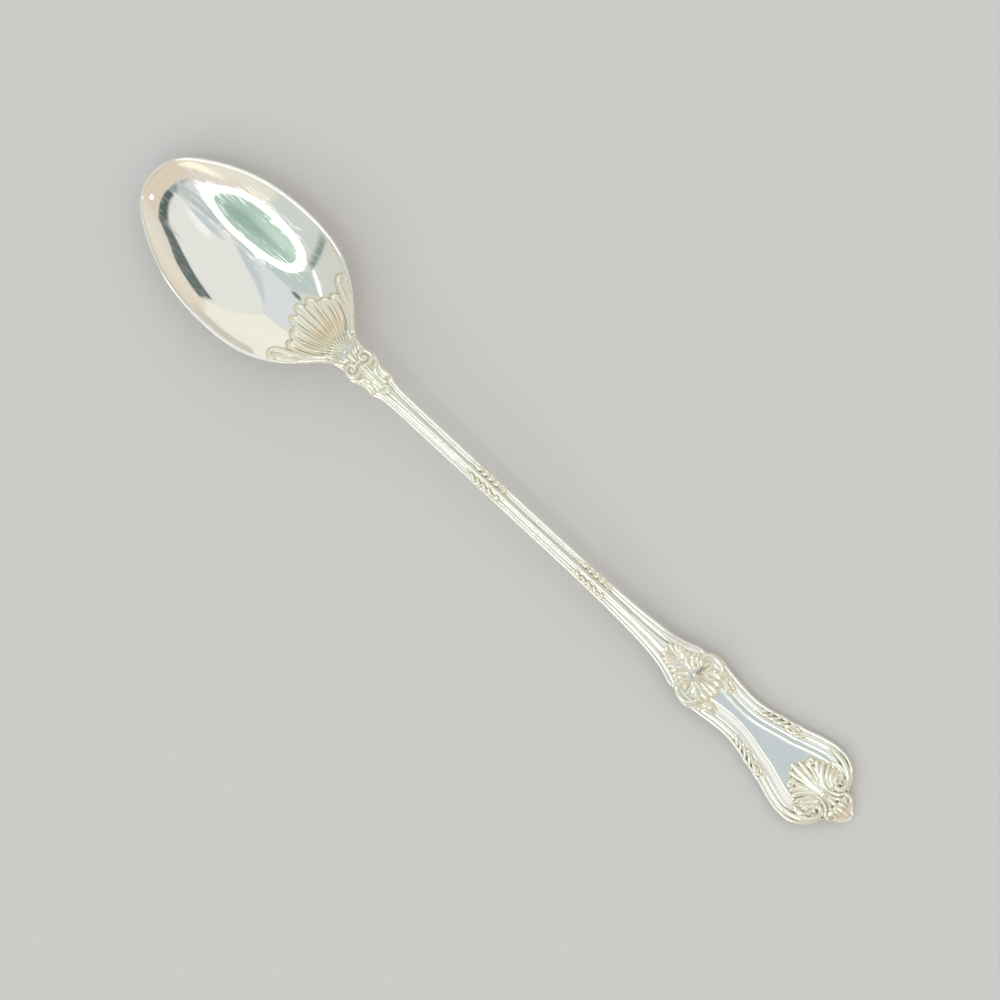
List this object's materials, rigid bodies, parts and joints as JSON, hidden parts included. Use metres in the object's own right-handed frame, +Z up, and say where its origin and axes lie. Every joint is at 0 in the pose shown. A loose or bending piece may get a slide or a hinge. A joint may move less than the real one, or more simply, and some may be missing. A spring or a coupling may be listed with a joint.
{
  "type": "iced tea spoon",
  "caption": "Long-handled silver iced tea spoon with a deep egg-shaped bowl, a reeded stem and a waisted handle with shell, scroll and leaf relief.",
  "frame": {"origin": "middle of the spoon's length and width, on the plane that it rests on", "axes": "+X from the bowl towards the end of the handle, +Z up out of the open bowl"},
  "size_m": [0.1904, 0.031, 0.0105],
  "materials": {
    "polished_silver": "mirror polish with fine hairlines from use",
    "struck_silver": "bright polish over struck beads and threads",
    "relief_silver": "polished high points with a warm grey tarnish left in the recesses"
  },
  "bodies": {
    "root": {"bowl": "polished_silver", "bowl_shell": "relief_silver", "neck": "struck_silver", "neck_scrolls": "relief_silver", "neck_leaves": "relief_silver", "stem": "struck_silver", "stem_sprigs": "relief_silver", "shoulder_flare": "struck_silver", "knot": "struck_silver", "knot_shell": "relief_silver", "knot_flower": "relief_silver", "knot_scrolls": "relief_silver", "panel_hooks": "relief_silver", "handle_panel": "struck_silver", "border_sprigs": "relief_silver", "terminal_fan": "relief_silver", "terminal_scrolls": "relief_silver", "finial": "struck_silver", "finial_leaves": "relief_silver"}
  },
  "joints": []
}
